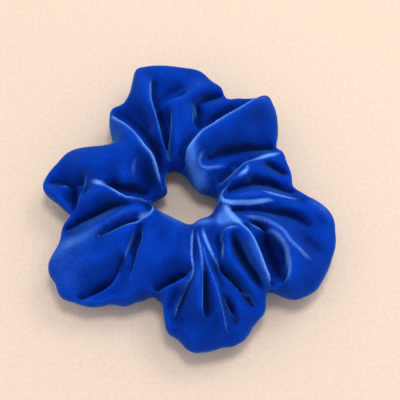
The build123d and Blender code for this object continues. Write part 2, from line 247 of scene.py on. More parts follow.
TROUGHS = {
    "a_left_foot": [
        (-12.5, 47, 16.5), (-12.5, 42.5, 16), (-11.5, 36, 17), (-9.5, 30, 17.5), (-8.5, 24.5, 17.5),
        (-7.5, 19.5, 16.5), (-7, 16, 12),
    ],
    "a_pocket_foot": [(-11.5, 40.5, 16), (-9.5, 43, 15.5), (-6.5, 45, 15.5), (-3, 46, 16.5)],
    "a_strip_foot": [(-8, 34.5, 22.5), (-7.5, 32, 21.5), (-7.5, 27.5, 20.5), (-8, 24, 19.5)],
    "a_nook": [(3, 38, 16.5), (3.5, 36, 13.5), (4, 32.5, 14.5), (4.5, 29.5, 15.5)],
    "ab_gully": [(3.5, 38, 18), (6, 41, 14.5), (9.5, 43, 12), (13, 44, 11)],
    "b_back_foot": [(5, 29.5, 15.5), (8.5, 32.5, 15), (13, 35.5, 15), (17.5, 38.5, 15), (22, 41.5, 14)],
    "b_strip_foot": [(3, 24, 23.5), (0, 20.5, 24), (-2.5, 17, 22.5), (-3, 15, 19.5), (-3, 12.5, 15)],
    "b_gully": [
        (7, 13, 20.5), (9.5, 14.5, 21), (13.5, 16.5, 20), (19, 18.5, 17.5), (25.5, 20.5, 14),
        (32, 22, 11.5),
    ],
    "c_rim_foot": [(21.5, 15, 20.5), (19, 13.5, 20), (16, 11, 19.5), (13.5, 8.5, 19), (11, 7, 17)],
    "c_groove": [(20.5, 10, 23.5), (18, 8, 22.5), (15, 6, 21), (13, 4.5, 18.5)],
    "c_gully": [
        (14.5, 0.5, 19.5), (16.5, 2, 19), (20, 3, 20), (24, 5.5, 16), (28, 6, 15), (32, 6, 12),
        (35.5, 4.5, 12), (40, 3, 11.5),
    ],
    "c_dent": [(29, 12.5, 18.5), (31, 12.5, 15), (34, 12, 13), (37, 10.5, 11.5)],
    "d_groove": [
        (14.5, -8, 22.5), (18, -6, 18), (22.5, -5.5, 18), (27.5, -6, 17.5), (32.5, -6.5, 16.5),
        (37, -7, 16), (41, -8.5, 16), (45, -11.5, 16.5),
    ],
    "d_dark_panel": [(40, -14.5, 21.5), (44, -18.5, 21), (48, -22, 18.5)],
    "d_pocket_floor": [
        (21, -13, 24), (24, -12.5, 19), (26.5, -13, 15.5), (28.5, -15.5, 13.5), (29.5, -18.5, 12.5),
        (31, -22.5, 12.5), (32.5, -26.5, 13), (33.5, -31, 15),
    ],
    "d_hollow": [
        (16, -18.5, 26.5), (17, -20.5, 23), (18, -23.5, 21.5), (20, -27, 21.5), (22, -30.5, 21.5),
        (24.5, -34, 21), (27, -36, 18.5),
    ],
    "d_left_valley": [(11.5, -17, 19.5), (11.5, -22, 20), (11.5, -27, 21)],
    "e_seam_foot": [(2.5, -14.5, 18.5), (2.5, -20.5, 21), (2.5, -26.5, 23.5), (3, -31, 25)],
    "e_dark_foot": [(1, -35.5, 22), (-0.5, -37.5, 18.5), (-2, -41, 16), (-3, -44, 14.5)],
    "fe_gully": [
        (0.5, -32, 22), (-2, -32, 16.5), (-5, -32.5, 13), (-8.5, -34, 11.5), (-11.5, -35.5, 11),
    ],
    "e_groove_1": [
        (6, -28, 24), (6.5, -32.5, 22.5), (6.5, -37.5, 20.5), (7, -42, 19.5), (8, -45.5, 19.5),
    ],
    "e_groove_2": [(12.5, -41, 22.5), (14, -42.5, 18.5), (15.5, -45, 15.5), (17.5, -48.5, 14)],
    "e_mid_groove": [(7.5, -25, 24.5), (9, -29, 23.5), (11, -33.5, 23), (12.5, -37.5, 23.5)],
    "e_d_gully": [
        (9, -26, 21.5), (11.5, -29, 18), (14, -31.5, 15.5), (17, -34, 14), (19.5, -37, 13.5),
        (22, -40, 12.5),
    ],
    "f_slit": [(-17.5, -13, 21), (-18.5, -16, 19), (-20, -19.5, 18.5), (-21, -24.5, 20)],
    "f_crease": [(-22.5, -25, 20.5), (-24.5, -29, 19.5), (-26.5, -31.5, 16.5)],
    "f_slot": [(-38, -37.5, 8.5), (-35.5, -36, 8), (-32, -34, 8), (-29, -32.5, 9.5), (-27, -31, 13)],
    "f_nose_foot": [
        (-17, -10, 19), (-20.5, -10.5, 16.5), (-25, -12.5, 15.5), (-29.5, -15, 16), (-32.5, -17, 18),
    ],
    "f_gully": [
        (-17, -5, 24.5), (-20, -5.5, 24.5), (-24, -5.5, 23), (-28, -5, 19), (-32, -5, 14),
        (-35.5, -6.5, 12.5), (-39.5, -8, 12), (-43, -10, 11.5), (-45.5, -12, 11),
    ],
    "f_left_dimple": [(-38, 2.5, 20), (-38, 0, 18.5)],
    "g_rim_foot": [
        (-27.5, 37, 14.5), (-23, 33, 16.5), (-18.5, 28, 18), (-15, 23.5, 18.5), (-12, 19, 18),
        (-10.5, 14, 16.5), (-9, 10.5, 12.5),
    ],
    "g_pocket": [(-50.5, 7, 10), (-47, 7, 9), (-44, 7, 9)],
    "g_pocket_side": [(-40, 6.5, 14), (-42.5, 6, 9.5), (-43.5, 3, 9), (-44.5, -0.5, 9.5)],
    "g_slit": [
        (-29.5, 3, 24), (-27, 3, 21), (-24, 1, 22), (-21, 1.5, 20), (-18, 2, 17.5), (-15.5, 2, 14),
    ],
}

# Crests that hang over a trough beside them: crest, trough, how far the cloth runs back under the
# crest (mm), and how much of the drop to the trough it takes there
OVERHANGS = [
    ("a_left_rim", "a_left_foot", 1.0, 0.8),
    ("a_front_rim", "a_pocket_foot", 1.0, 0.9),
    ("a_strip_left", "a_strip_foot", 0.3, 0.9),
    ("a_strip_right", "a_nook", 0.4, 0.9),
    ("b_rim", "b_back_foot", 2.0, 0.8),
    ("b_rim", "b_strip_foot", 2.0, 0.9),
    ("c_rim", "c_rim_foot", 0.8, 0.9),
    ("c_lip", "c_groove", 0.0, 0.7),
    ("c_dent_top", "c_dent", 0.6, 0.7),
    ("d_rim", "d_pocket_floor", 1.5, 0.8),
    ("d_pocket_rim", "d_pocket_floor", 0.4, 0.5),
    ("d_limb_edge", "d_hollow", 0.2, 0.9),
    ("d_left_edge", "d_left_valley", 0.3, 0.8),
    ("e_seam_rim", "e_dark_foot", 0.6, 0.9),
    ("e_ridge_1", "e_groove_1", 0.4, 0.9),
    ("e_ridge_3", "e_groove_2", 0.4, 0.8),
    ("e_d_rim", "e_d_gully", 1.2, 0.8),
    ("f_low_rim", "fe_gully", 1.6, 0.8),
    ("f_nose_rim", "f_nose_foot", 1.2, 0.8),
    ("f_nose_rim", "g_slit", 1.0, 0.8),
    ("f_slit_right", "f_slit", 0.8, 0.9),
    ("f_big_edge", "f_slot", 1.4, 0.8),
    ("f_left_rim", "g_pocket_side", 0.8, 0.8),
    ("g_rim", "g_rim_foot", 2.2, 0.85),
    ("g_low_rim", "g_pocket", 1.4, 0.8),
]
OVERHANG_REACH = 9.0      # mm, a crest hangs over only where its trough is nearer than this
EDGE_WIDTH = 1.1          # mm, the turn of the cloth over such a crest

# Creases of the gathered cloth on the outside, in the hole and underneath, where no photograph shows
# it: one in each notch between the puffs, the others spaced evenly and then shifted a little
NOTCHES = (14, 33, 71, 142, 187, 253, 309)   # degrees
CREASE_SPACING = 9.5      # degrees
CREASE_DEPTH = 2.6        # mm, at the outer edge
CREASE_WIDTH = 2.4        # mm
CREASE_SEED = 7

GRID_HALF = 64.0          # mm, the fold field covers a square of twice this
GRID_LEVELS = ((80, 150), (160, 150), (320, 200))   # cells a side and solver steps
LINE_STEP = 0.15          # mm, between the points a fold line is taken at
BEND_LENGTH = 1.3         # mm, how stiffly the cloth bends over a crest
LINE_PULL = 8.0           # per mm, how strongly a fold line holds the cloth
PUFF = 0.025              # per mm, how much the cloth swells between its folds
LEAN_REACH = 2.5          # mm, how far a lean carries into the cloth beside it

# ---- braided elastic -----------------------------------------------------------------------------
ELASTIC_RADIUS = 24.0     # mm, of the relaxed ring
ELASTIC_WIDTH = 7.0       # stands on edge in the casing
ELASTIC_THICKNESS = 1.2
ELASTIC_HEIGHT = 12.0     # of its middle above the floor
ELASTIC_TOP = 17.2        # the cover clears this height over it
JOIN_ANGLE = 270.0        # degrees, the middle of its join
LAP_ANGLE = 12.0          # degrees, each end runs this far past it
LAP_RISE = 1.7            # mm, how far out the overlapping end lies
CORE_COUNT = 8
CORE_DIAMETER = 0.6
CHANNEL_DIAMETER = 0.7
CORE_PITCH = 0.82
RIB_DEPTH = 0.14          # of the grooves between the braid's cores

# ---- sewing thread -------------------------------------------------------------------------------
THREAD_DIAMETER = 0.4     # mm
STITCH_LENGTH = 2.5
SEAM_LINE = 4.0           # from the hole's edge of the allowance to the long seam
CLOSING_SEAM_X = 1.6      # where the tube's two ends meet
CLOSING_SEAM_Y = -34.0    # the middle of the tube there
CLOSING_SEAM_SINK = 1.9   # cloth thicknesses, how deep its thread lies below the face
ZIGZAG_STITCHES = 12
ZIGZAG_WIDTH = 4.6

RING_STEPS = 1000         # quads round the ring before the remesh
TOP_STEPS = 170
UNDER_STEPS = 90
VOXEL = 0.5               # mm
SMOOTH_STEPS = 5


def periodic(table, angles):
    """A table of (degrees, value) as a smooth closed curve, at the given angles in degrees."""
    knots = np.array([row[0] for row in table], float)
    values = np.array([row[1] for row in table], float)
    knots = np.concatenate([knots - 360, knots, knots + 360])
    values = np.tile(values, 3)
    slopes = np.gradient(values, knots)
    angles = np.mod(angles, 360)
    at = np.clip(np.searchsorted(knots, angles) - 1, 0, len(knots) - 2)
    width = knots[at + 1] - knots[at]
    t = (angles - knots[at]) / width
    low, high = values[at], values[at + 1]
    rise = low * (2 * t**3 - 3 * t**2 + 1) + high * (3 * t**2 - 2 * t**3)
    return rise + width * (slopes[at] * (t**3 - 2 * t**2 + t) + slopes[at + 1] * (t**3 - t**2))


def dense_line(points, step=LINE_STEP):
    """Points along a Catmull-Rom curve through the given points, about step apart."""
    p = np.array(points, float)
    if len(p) == 1:
        return p
    p = np.vstack([2 * p[0] - p[1], p, 2 * p[-1] - p[-2]])
    out = []
    for a, b, c, d in zip(p, p[1:], p[2:], p[3:]):
        count = max(2, int(np.linalg.norm(c - b) / step))
        t = (np.arange(count) / count)[:, None]
        bend = (2 * a - 5 * b + 4 * c - d) * t**2 + (3 * b - a - 3 * c + d) * t**3
        out.append(0.5 * (2 * b + (c - a) * t + bend))
    out.append(p[-2:-1])
    return np.vstack(out)


def plain_height(x, y, upper=True):
    """Height of the unfolded tube over a place in plan."""
    angle = np.degrees(np.arctan2(y, x))
    radius = np.hypot(x, y)
    inner, outer = periodic(HOLE_EDGE, angle), periodic(OUTER_EDGE, angle)
    across = np.clip(2 * (radius - inner) / (outer - inner) - 1, -1, 1)
    fullness = TOP_FULLNESS if upper else UNDER_FULLNESS
    swell = (1 - np.abs(across) ** fullness) ** (1 / fullness)
    if upper:
        return GIRTH_HEIGHT + (PLAIN_TOP - GIRTH_HEIGHT) * swell
    return GIRTH_HEIGHT * (1 - swell)


def curl(field):
    """Each cell against the mean of its four neighbours, times four."""
    padded = np.pad(field, 1, mode="edge")
    around = padded[:-2, 1:-1] + padded[2:, 1:-1] + padded[1:-1, :-2] + padded[1:-1, 2:]
    return 4 * field - around


def near_cells(x, y, cells):
    """The four cells round each place and their shares of it."""
    size = 2 * GRID_HALF / cells
    fx = np.clip((x + GRID_HALF) / size - 0.5, 0, cells - 1.001)
    fy = np.clip((y + GRID_HALF) / size - 0.5, 0, cells - 1.001)
    ix, iy = fx.astype(int), fy.astype(int)
    tx, ty = fx - ix, fy - iy
    corner = iy * cells + ix
    index = np.stack([corner, corner + 1, corner + cells, corner + cells + 1])
    share = np.stack([(1 - tx) * (1 - ty), tx * (1 - ty), (1 - tx) * ty, tx * ty])
    return index, share


def inside_edges(cells):
    """Which cells of the plan lie between the hole and the outer edge."""
    centres = (np.arange(cells) + 0.5) * 2 * GRID_HALF / cells - GRID_HALF
    gx, gy = np.meshgrid(centres, centres)
    angle, radius = np.degrees(np.arctan2(gy, gx)), np.hypot(gx, gy)
    return (radius < periodic(OUTER_EDGE, angle)) & (radius > periodic(HOLE_EDGE, angle))


def solve_field(x, y, value, creased, bend, puff=0.0, screen=0.0):
    """The calm surface through the values at (x, y): stiff as a sheet, hinged where creased."""
    field = None
    for cells, steps in GRID_LEVELS:
        size = 2 * GRID_HALF / cells
        inside = inside_edges(cells)
        index, share = near_cells(x, y, cells)
        hold = LINE_PULL * LINE_STEP

        def gathered(amount):
            return np.bincount(index.ravel(), (share * amount).ravel(), cells * cells).reshape(cells, cells)

        hinged = gathered(creased.astype(float)) > 0.3 * size / LINE_STEP
        stiff = np.where(hinged, 0.0, (bend / size) ** 2)
        target = inside * (gathered(hold * value) + puff * size**2)

        def pull(u):
            held = gathered(hold * (share * u.ravel()[index]).sum(axis=0))
            return inside * (curl(stiff * curl(u)) + curl(u) + held + screen * size**2 * u)

        if field is None:
            field = np.zeros((cells, cells))
        else:
            field = np.repeat(np.repeat(field, 2, axis=0), 2, axis=1) * inside
        weight = inside / (20 * stiff + 4 + gathered(hold * share) + screen * size**2)
        rest = target - pull(field)
        push = weight * rest
        aim = push.copy()
        energy = (rest * push).sum()
        for _ in range(steps):
            answer = pull(aim)
            step = energy / max((aim * answer).sum(), 1e-12)
            field = field + step * aim
            rest = rest - step * answer
            push = weight * rest
            new_energy = (rest * push).sum()
            aim = push + new_energy / max(energy, 1e-12) * aim
            energy = new_energy
    return field


def sampled(field, x, y):
    """The field at places in plan, worked out between cell centres."""
    index, share = near_cells(x, y, field.shape[0])
    return (share * field.ravel()[index]).sum(axis=0)


def towards(points, others):
    """From each point to the nearest of the others: unit direction in plan, distance and height."""
    gap = others[None, :, :2] - points[:, None, :2]
    distance = np.linalg.norm(gap, axis=2)
    nearest = distance.argmin(axis=1)
    row = np.arange(len(points))
    length = distance[row, nearest]
    return gap[row, nearest] / np.maximum(length, 0.01)[:, None], length, others[nearest, 2]


def evened(values, width=21):
    """A running mean along a line."""
    half = width // 2
    ends = [(half, half)] + [(0, 0)] * (values.ndim - 1)
    padded = np.pad(values, ends, mode="edge")
    return sum(padded[i:i + len(values)] for i in range(width)) / width


def undercuts():
    """Lines just past the overhanging crests: places, heights, and how far they run back under."""
    places, heights, shifts = [], [], []
    for crest, trough, undercut, share in OVERHANGS:
        line, other = dense_line(CRESTS[crest]), dense_line(TROUGHS[trough])
        direction, distance, floor = towards(line, other)
        direction, distance, floor = evened(direction), evened(distance), evened(floor)
        near = np.clip((OVERHANG_REACH - distance) / (0.3 * OVERHANG_REACH), 0, 1)
        ends = np.minimum(np.arange(len(line)), np.arange(len(line))[::-1]) * LINE_STEP
        fade = near * np.clip(ends / 3, 0, 1)
        kept = fade > 0.15
        past = np.minimum(EDGE_WIDTH, 0.4 * distance)
        drop = share * np.maximum(line[:, 2] - floor, 0) * fade
        places.append((line[:, :2] + direction * past[:, None])[kept])
        heights.append((line[:, 2] - drop)[kept])
        shifts.append((-direction * ((past + undercut) * fade)[:, None])[kept])
    return np.vstack(places), np.concatenate(heights), np.vstack(shifts)


def height_field():
    """How far the folds lift the upper side above the unfolded tube."""
    crests = np.vstack([dense_line(points) for points in CRESTS.values()])
    troughs = np.vstack([dense_line(points) for points in TROUGHS.values()])
    places, heights, _ = undercuts()
    p = np.vstack([crests, troughs, np.column_stack([places, heights])])
    creased = np.arange(len(p)) >= len(crests)
    lift = p[:, 2] - plain_height(p[:, 0], p[:, 1])
    return solve_field(p[:, 0], p[:, 1], lift, creased, BEND_LENGTH, PUFF)


def lean_fields():
    """Sideways shifts of the upper side, in x and y, that run the cloth back under its crests."""
    places, _, shifts = undercuts()
    crests = np.vstack([dense_line(points) for points in CRESTS.values()])[:, :2]
    x, y = np.vstack([places, crests]).T
    loose = np.zeros(len(x), bool)
    still = np.zeros(len(crests))
    return [
        solve_field(x, y, np.concatenate([shifts[:, axis], still]), loose, 0.3, 0.0, 1 / LEAN_REACH**2)
        for axis in (0, 1)
    ]


def new_mesh(name, vertices, faces):
    """A mesh object from arrays, vertices in metres."""
    mesh = bpy.data.meshes.new(name)
    mesh.from_pydata([], [], [])
    mesh.vertices.add(len(vertices))
    mesh.vertices.foreach_set("co", np.asarray(vertices, np.float32).ravel())
    faces = np.asarray(faces, np.int32)
    corners = faces.shape[1]
    mesh.loops.add(faces.size)
    mesh.loops.foreach_set("vertex_index", faces.ravel())
    mesh.polygons.add(len(faces))
    mesh.polygons.foreach_set("loop_start", np.arange(0, faces.size, corners, dtype=np.int32))
    mesh.update(calc_edges=True)
    mesh.validate()
    obj = bpy.data.objects.new(name, mesh)
    bpy.context.scene.collection.objects.link(obj)
    return obj


def tube_faces(around, along):
    """Quads of a closed torus grid with rows round the ring and columns round the tube."""
    i, j = np.meshgrid(np.arange(around), np.arange(along), indexing="ij")
    a = i * along + j
    b = ((i + 1) % around) * along + j
    c = ((i + 1) % around) * along + (j + 1) % along
    d = i * along + (j + 1) % along
    return np.stack([a, b, c, d], axis=-1).reshape(-1, 4)


def crease_table():
    """Angles (degrees) and depths (mm) of the creases on the sides and underneath."""
    rng = np.random.default_rng(CREASE_SEED)
    angles, depths = [], []
    for start, end in zip(NOTCHES, NOTCHES[1:] + (NOTCHES[0] + 360,)):
        count = max(1, round((end - start) / CREASE_SPACING))
        step = (end - start) / count
        for i in range(count):
            shift = 0.0 if i == 0 else rng.uniform(-0.25, 0.25) * step
            angles.append(start + i * step + shift)
            depths.append(CREASE_DEPTH * (1.2 if i == 0 else rng.uniform(0.45, 1.0)))
    return np.array(angles), np.array(depths)


def crease_depth(angle, radius, below):
    """How far the gathered cloth draws in at an angle (degrees) and radius (mm)."""
    wander = 2.2 * np.sin(np.radians(3 * angle + 40)) + 1.6 * np.sin(np.radians(7 * angle + 110))
    deepest = np.zeros(np.broadcast(angle, radius).shape)
    for place, depth in zip(*crease_table()):
        away = np.radians(np.abs((angle + wander * below - place + 180) % 360 - 180)) * radius
        deepest = np.maximum(deepest, depth * np.exp(-away / CREASE_WIDTH))
    return deepest * np.minimum(1, radius / 40)


def outward(across, half_width, height, fullness, upper):
    """Radial and upward parts of the unfolded tube's normal."""
    swell = (1 - np.abs(across) ** fullness) ** (1 / fullness)
    radial = np.sign(across) * np.abs(across) ** (fullness - 1) / half_width
    rising = swell ** (fullness - 1) / height * (1 if upper else -1)
    length = np.maximum(np.hypot(radial, rising), 1e-9)
    return radial / length, rising / length


def folded_tube():
    """The outer skin of the gathered tube, as the fold lines shape it."""
    angles = np.arange(RING_STEPS) * 360 / RING_STEPS
    inner, outer = periodic(HOLE_EDGE, angles), periodic(OUTER_EDGE, angles)
    top = (1 - np.cos(np.pi * np.arange(TOP_STEPS) / TOP_STEPS)) / 2
    under = (1 - np.cos(np.pi * np.arange(UNDER_STEPS) / UNDER_STEPS)) / 2
    across = np.concatenate([top, 1 - under])
    is_top = (np.arange(len(across)) < TOP_STEPS)[None, :]
    half_width = ((outer - inner) / 2)[:, None]
    radius = inner[:, None] + 2 * half_width * across[None, :]
    turn = np.radians(angles)[:, None]
    x, y = radius * np.cos(turn), radius * np.sin(turn)
    lift = sampled(height_field(), x, y)
    z = np.where(is_top, plain_height(x, y) + lift, plain_height(x, y, upper=False))
    lean_x, lean_y = lean_fields()
    x, y = x + is_top * sampled(lean_x, x, y), y + is_top * sampled(lean_y, x, y)

    share = (2 * across - 1)[None, :]
    above = outward(share, half_width, PLAIN_TOP - GIRTH_HEIGHT, TOP_FULLNESS, True)
    below = outward(share, half_width, GIRTH_HEIGHT, UNDER_FULLNESS, False)
    radial, rising = (np.where(is_top, a, b) for a, b in zip(above, below))
    weight = np.clip((0.45 - rising) / 1.2, 0, 1) ** 1.5
    inwards = weight * crease_depth(angles[:, None], radius, np.clip(0.5 - rising, 0, 1))
    x, y = x - inwards * radial * np.cos(turn), y - inwards * radial * np.sin(turn)
    z = z - inwards * rising

    over_elastic = np.clip(1 - (np.abs(np.hypot(x, y) - ELASTIC_RADIUS) - 2) / 3, 0, 1)
    least = ELASTIC_TOP - 6 * (1 - over_elastic)
    z = np.where(is_top & (over_elastic > 0), np.maximum(z, least), z)
    vertices = np.stack([x, y, z], axis=-1).reshape(-1, 3) * MM
    return new_mesh("skin", vertices, tube_faces(len(angles), len(across))[:, ::-1])


def apply_modifiers(obj):
    """Replace the object's mesh by the result of its modifiers."""
    depsgraph = bpy.context.evaluated_depsgraph_get()
    done = bpy.data.meshes.new_from_object(obj.evaluated_get(depsgraph))
    obj.modifiers.clear()
    obj.data = done
    obj.data.name = obj.name


def coordinates(obj):
    points = np.empty(len(obj.data.vertices) * 3, np.float32)
    obj.data.vertices.foreach_get("co", points)
    return points.reshape(-1, 3).astype(float)


def set_coordinates(obj, points):
    obj.data.vertices.foreach_set("co", points.astype(np.float32).ravel())
    obj.data.update()


def quad_array(obj):
    corners = np.empty(len(obj.data.loops), np.int32)
    obj.data.loops.foreach_get("vertex_index", corners)
    return corners.reshape(-1, 4)


def edge_array(obj):
    edges = np.empty(len(obj.data.edges) * 2, np.int32)
    obj.data.edges.foreach_get("vertices", edges)
    return edges.reshape(-1, 2)


def neighbour_mean(values, edges, count):
    """The mean of each vertex's neighbours."""
    total = np.zeros((count, values.shape[1]))
    for axis in range(values.shape[1]):
        total[:, axis] = np.bincount(edges[:, 0], values[edges[:, 1], axis], count)
        total[:, axis] += np.bincount(edges[:, 1], values[edges[:, 0], axis], count)
    degree = np.bincount(edges.ravel(), minlength=count)
    return total / np.maximum(degree, 1)[:, None]


def smooth(obj, steps, factor=0.5):
    """Even the mesh out, towards each vertex's neighbours."""
    points, edges = coordinates(obj), edge_array(obj)
    for _ in range(steps):
        points += factor * (neighbour_mean(points, edges, len(points)) - points)
    set_coordinates(obj, points)


def remesh(obj, size):
    modifier = obj.modifiers.new("remesh", "REMESH")
    modifier.mode = "VOXEL"
    modifier.voxel_size = size * MM
    modifier.use_smooth_shade = True
    apply_modifiers(obj)


def shade_smooth(obj):
    obj.data.polygons.foreach_set("use_smooth", np.ones(len(obj.data.polygons), bool))


def vertex_normals(obj):
    normals = np.empty(len(obj.data.vertices) * 3, np.float32)
    obj.data.vertex_normals.foreach_get("vector", normals)
    return normals.reshape(-1, 3).astype(float)


def relief(obj, steps):
    """How far each vertex stands out (mm) from the same surface smoothed over so many steps."""
    points, edges = coordinates(obj), edge_array(obj)
    calm = points.copy()
    for _ in range(steps):
        calm += 0.5 * (neighbour_mean(calm, edges, len(calm)) - calm)
    return ((points - calm) * vertex_normals(obj)).sum(axis=1) / MM


def store(obj, name, values):
    attribute = obj.data.attributes.new(name, "FLOAT", "POINT")
    attribute.data.foreach_set("value", values.astype(np.float32))


# ---- the velvet's light and shade ----------------------------------------------------------------
LINE_TAPER = 6.0          # mm, over which a line's light or shade dies away at its ends
FADE_STEP = 0.4           # mm, between the points such a line is taken at
EDGE_HEIGHT = 3.2         # mm, how far above and below its line a painted highlight reaches
LIGHT_SHADE_HEIGHT = 6.0          # mm, the same for the painted light and shade along a fold line
PATCH_START = 9.0         # mm, the height where a patch of painted light and shade begins
PATCH_RISE = 10.0         # mm, over which it comes to its full amount
BROAD_STEPS = 60          # smoothing steps that the broad relief is measured against

# Fold edges with a painted highlight along them: the line, the half width of the highlight (mm)
# and how light it is
PAINTED_HIGHLIGHT_EDGES = [
    ("a_left_rim", 0.80, 0.7),
    ("a_front_rim", 0.80, 0.5),
    ("a_front_crest", 0.50, 0.3),
    ("a_strip_left", 0.40, 0.4),
    ("a_strip_right", 0.33, 0.35),
    ("b_rim", 1.20, 1),
    ("b_turn", 0.60, 0.5),
    ("b_back_top", 0.36, 0.3),
    ("c_rim", 0.80, 0.9),
    ("c_lip_back", 0.70, 1.1),
    ("c_lip", 0.50, 1.1),
    ("c_low_panel", 0.60, 0.2),
    ("d_top_rim", 0.60, 0.7),
    ("d_band", 0.33, 0.35),
    ("d_ridge", 0.90, 0.5),
    ("d_pocket_rim", 0.90, 0.8),
    ("d_rim", 1.10, 1.2),
    ("d_arch", 0.50, 0.8),
    ("d_left_edge", 0.50, 1),
    ("e_seam_rim", 0.35, 0.75),
    ("e_ridge_1", 0.35, 0.7),
    ("e_ridge_2", 0.33, 0.45),
    ("e_ridge_3", 0.65, 0.7),
    ("e_d_rim", 0.50, 0.9),
    ("f_low_rim", 0.60, 0.4),
    ("f_big_edge", 0.50, 0.45),
    ("f_slit_right", 0.35, 0.3),
    ("f_nose_rim", 0.90, 1),
    ("f_left_rim", 0.80, 0.4),
    ("f_hole_rim", 0.60, 0.3),
    ("g_rim", 1.20, 1),
    ("g_low_rim", 0.90, 0.9),
    ("g_collar_edge", 0.80, 0.4),
]

# Painted light (positive) and painted shade (negative, mostly in the creases and hollows) along a
# fold line: the line, the half width of the stretch (mm) and how much
PAINTED_LIGHT_SHADE_LINES = [
    ("d_bright_face", 1.6, 1.2),
    ("d_bright_low", 1.2, 1.1),
    ("d_right_limb", 1.5, 0.3),
    ("b_bulge", 2.0, 1.1),
    ("b_collar", 2.0, 0.5),
    ("c_lower_roll", 1.2, 0.15),
    ("e_center_panel", 2.5, 0.25),
    ("e_second_panel", 2.0, 0.15),
    ("b_rim", 1.4, 0.3),
    ("f_lower_roll", 1.6, 0.3),
    ("f_hole_rim", 2.2, 0.6),
    ("g_collar", 3.0, -0.4),
    ("d_hollow", 1.2, -1.4),
    ("d_pocket_floor", 1.9, -0.7),
    ("d_groove", 1.0, -0.7),
    ("d_dark_panel", 2.5, -0.4),
    ("d_left_valley", 0.8, -0.4),
    ("c_gully", 1.0, -0.9),
    ("c_groove", 0.8, -0.5),
    ("c_dent", 1.2, -1.0),
    ("c_rim_foot", 0.8, -0.5),
    ("b_gully", 1.0, -0.8),
    ("b_strip_foot", 1.0, -0.5),
    ("b_back_foot", 1.5, -0.6),
    ("a_nook", 1.3, -0.8),
    ("ab_gully", 1.3, -0.8),
    ("a_left_foot", 1.0, -0.5),
    ("a_pocket_foot", 1.2, -0.4),
    ("e_seam_foot", 0.6, -0.4),
    ("e_dark_foot", 1.1, -0.9),
    ("fe_gully", 1.3, -0.9),
    ("e_groove_1", 0.9, -0.9),
    ("e_groove_2", 1.2, -0.8),
    ("e_mid_groove", 0.8, -0.5),
    ("e_d_gully", 1.3, -0.9),
    ("f_slit", 0.6, -0.8),
    ("f_crease", 0.8, -0.6),
    ("f_slot", 1.3, -0.8),
    ("f_nose_foot", 1.2, -0.5),
    ("f_gully", 1.0, -0.8),
    ("g_slit", 1.0, -0.9),
    ("g_pocket", 1.4, -0.8),
    ("g_pocket_side", 1.4, -0.8),
    ("g_rim_foot", 1.2, -0.6),
]

# The same over wider stretches: place (x, y) in mm, half widths, turn in degrees, and how much
PAINTED_LIGHT_SHADE_PATCHES = [
    (-47, -20, 6, 3, 25, 0.35),
    (5, -10, 3.5, 1.5, -10, 0.7),
    (-42, -28, 9, 7, 30, 0.2),
    (50, -4, 5, 2.5, -40, 0.4),
    (8, -48, 18, 7, 0, -0.45),
    (45, -20, 8, 12, 20, -0.2),
    (24, 27, 10, 8, 20, -0.25),
    (-12, 10, 5, 8, 20, -0.25),
    (-28, -24, 13, 9, 30, -0.1),
]


def line_fade(points, name, width, height):
    """1 at the points (mm) on a fold line, falling off beside, above and below it, and at its ends."""
    scale = np.array((1.0, 1.0, width / height))
    line = dense_line({**CRESTS, **TROUGHS}[name], FADE_STEP)
    ends = np.minimum(np.arange(len(line)), np.arange(len(line))[::-1]) * FADE_STEP
    extra = -2 * width**2 * np.log(np.clip(ends / LINE_TAPER, 0.02, 1))
    reach = 3.5 * width
    low, high = line.min(axis=0) - reach, line.max(axis=0) + reach
    near = np.flatnonzero(((points > low) & (points < high))[:, :2].all(axis=1))
    here = points[near] * scale
    away = np.full(len(near), np.inf)
    for place, more in zip(line * scale, extra):
        away = np.minimum(away, ((here - place) ** 2).sum(axis=1) + more)
    fade = np.zeros(len(points))
    fade[near] = np.exp(-0.5 * away / width**2)
    return fade


def painted_highlights(points):
    """How much painted highlight the fold edges give each point (mm), before its facing is counted."""
    light = np.zeros(len(points))
    for name, width, amount in PAINTED_HIGHLIGHT_EDGES:
        light = np.maximum(light, amount * line_fade(points, name, width, EDGE_HEIGHT))
    return light


def painted_light_and_shade(points):
    """How much painted light (positive) and painted shade (negative) each point (mm) gets."""
    x, y, z = points.T
    lean = np.zeros(len(points))
    high = np.clip((z - PATCH_START) / PATCH_RISE, 0, 1)
    for wx, wy, wide, tall, turn, amount in PAINTED_LIGHT_SHADE_PATCHES:
        c, s = math.cos(math.radians(turn)), math.sin(math.radians(turn))
        u, v = (c * (x - wx) + s * (y - wy)) / wide, (c * (y - wy) - s * (x - wx)) / tall
        lean += amount * np.exp(-0.5 * (u**2 + v**2)) * high
    for name, width, amount in PAINTED_LIGHT_SHADE_LINES:
        lean += amount * line_fade(points, name, width, LIGHT_SHADE_HEIGHT)
    return lean


def cloth_back(points, normals, quads):
    """The cloth's back: its thickness inside the face, or less where a fold is thinner than two layers."""
    tree = BVHTree.FromPolygons(points.tolist(), quads.tolist())
    reach = 10 * MM
    room = np.full(len(points), reach)
    for i, (point, normal) in enumerate(zip(points, normals)):
        distance = tree.ray_cast(Vector(point - 0.02 * MM * normal), Vector(-normal), reach)[3]
        if distance is not None:
            room[i] = distance
    depth = np.minimum(CLOTH_THICKNESS * MM, FOLD_SHARE * room)
    return points - depth[:, None] * normals


def seam_allowance():
    """Outline points round the ring of the two raw edges, which lie together inside the tube."""
    angles = np.arange(0, 360, 2.0)
    start = periodic(HOLE_EDGE, angles) + ALLOWANCE_START
    end = start + SEAM_ALLOWANCE + 0.5 * np.sin(np.radians(7 * angles))
    low, high = ALLOWANCE_HEIGHT - CLOTH_THICKNESS, ALLOWANCE_HEIGHT + CLOTH_THICKNESS
    rows = [(start, low), (end, low), (end, ALLOWANCE_HEIGHT - 0.1), (end - 2, ALLOWANCE_HEIGHT)]
    rows += [(end, ALLOWANCE_HEIGHT + 0.1), (end, high), (start, high)]
    turn = np.radians(angles)
    ring = [np.stack([r * np.cos(turn), r * np.sin(turn), np.full(len(turn), z)], -1) for r, z in rows]
    return np.stack(ring, axis=1) * MM


